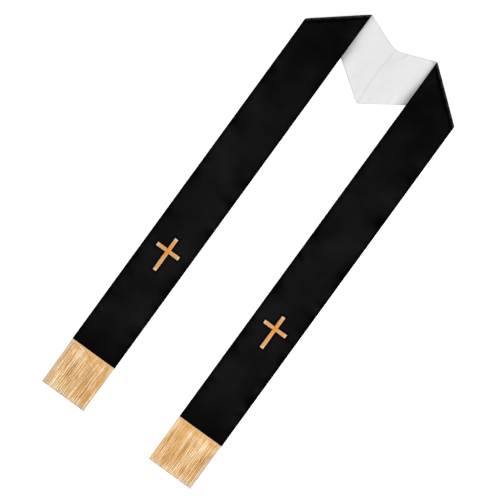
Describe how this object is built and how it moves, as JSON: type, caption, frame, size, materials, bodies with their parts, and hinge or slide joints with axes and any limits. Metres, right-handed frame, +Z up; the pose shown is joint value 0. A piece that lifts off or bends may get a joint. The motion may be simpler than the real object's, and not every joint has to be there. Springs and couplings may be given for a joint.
{
  "type": "clerical stole",
  "caption": "Black satin clerical stole with a white lining, gold fringes and embroidered crosses, laid flat and folded over at the shoulders.",
  "frame": {"origin": "centre of the stole's bounding box, on the surface that it lies on", "axes": "+X across the fronts, +Y along the fronts towards the neck, +Z up from the surface"},
  "size_m": [0.4504, 1.1959, 0.008],
  "materials": {
    "black_satin": "soft satin",
    "white_lining": "smooth lining satin",
    "gold_fringe": "lustrous twisted yarn",
    "gold_thread": "satin-stitch embroidery thread"
  },
  "bodies": {
    "root": {"left_face": "black_satin", "right_face": "black_satin", "left_lining": "white_lining", "right_lining": "white_lining", "left_fringe": "gold_fringe", "right_fringe": "gold_fringe", "left_cross": "gold_thread", "right_cross": "gold_thread"}
  },
  "joints": []
}
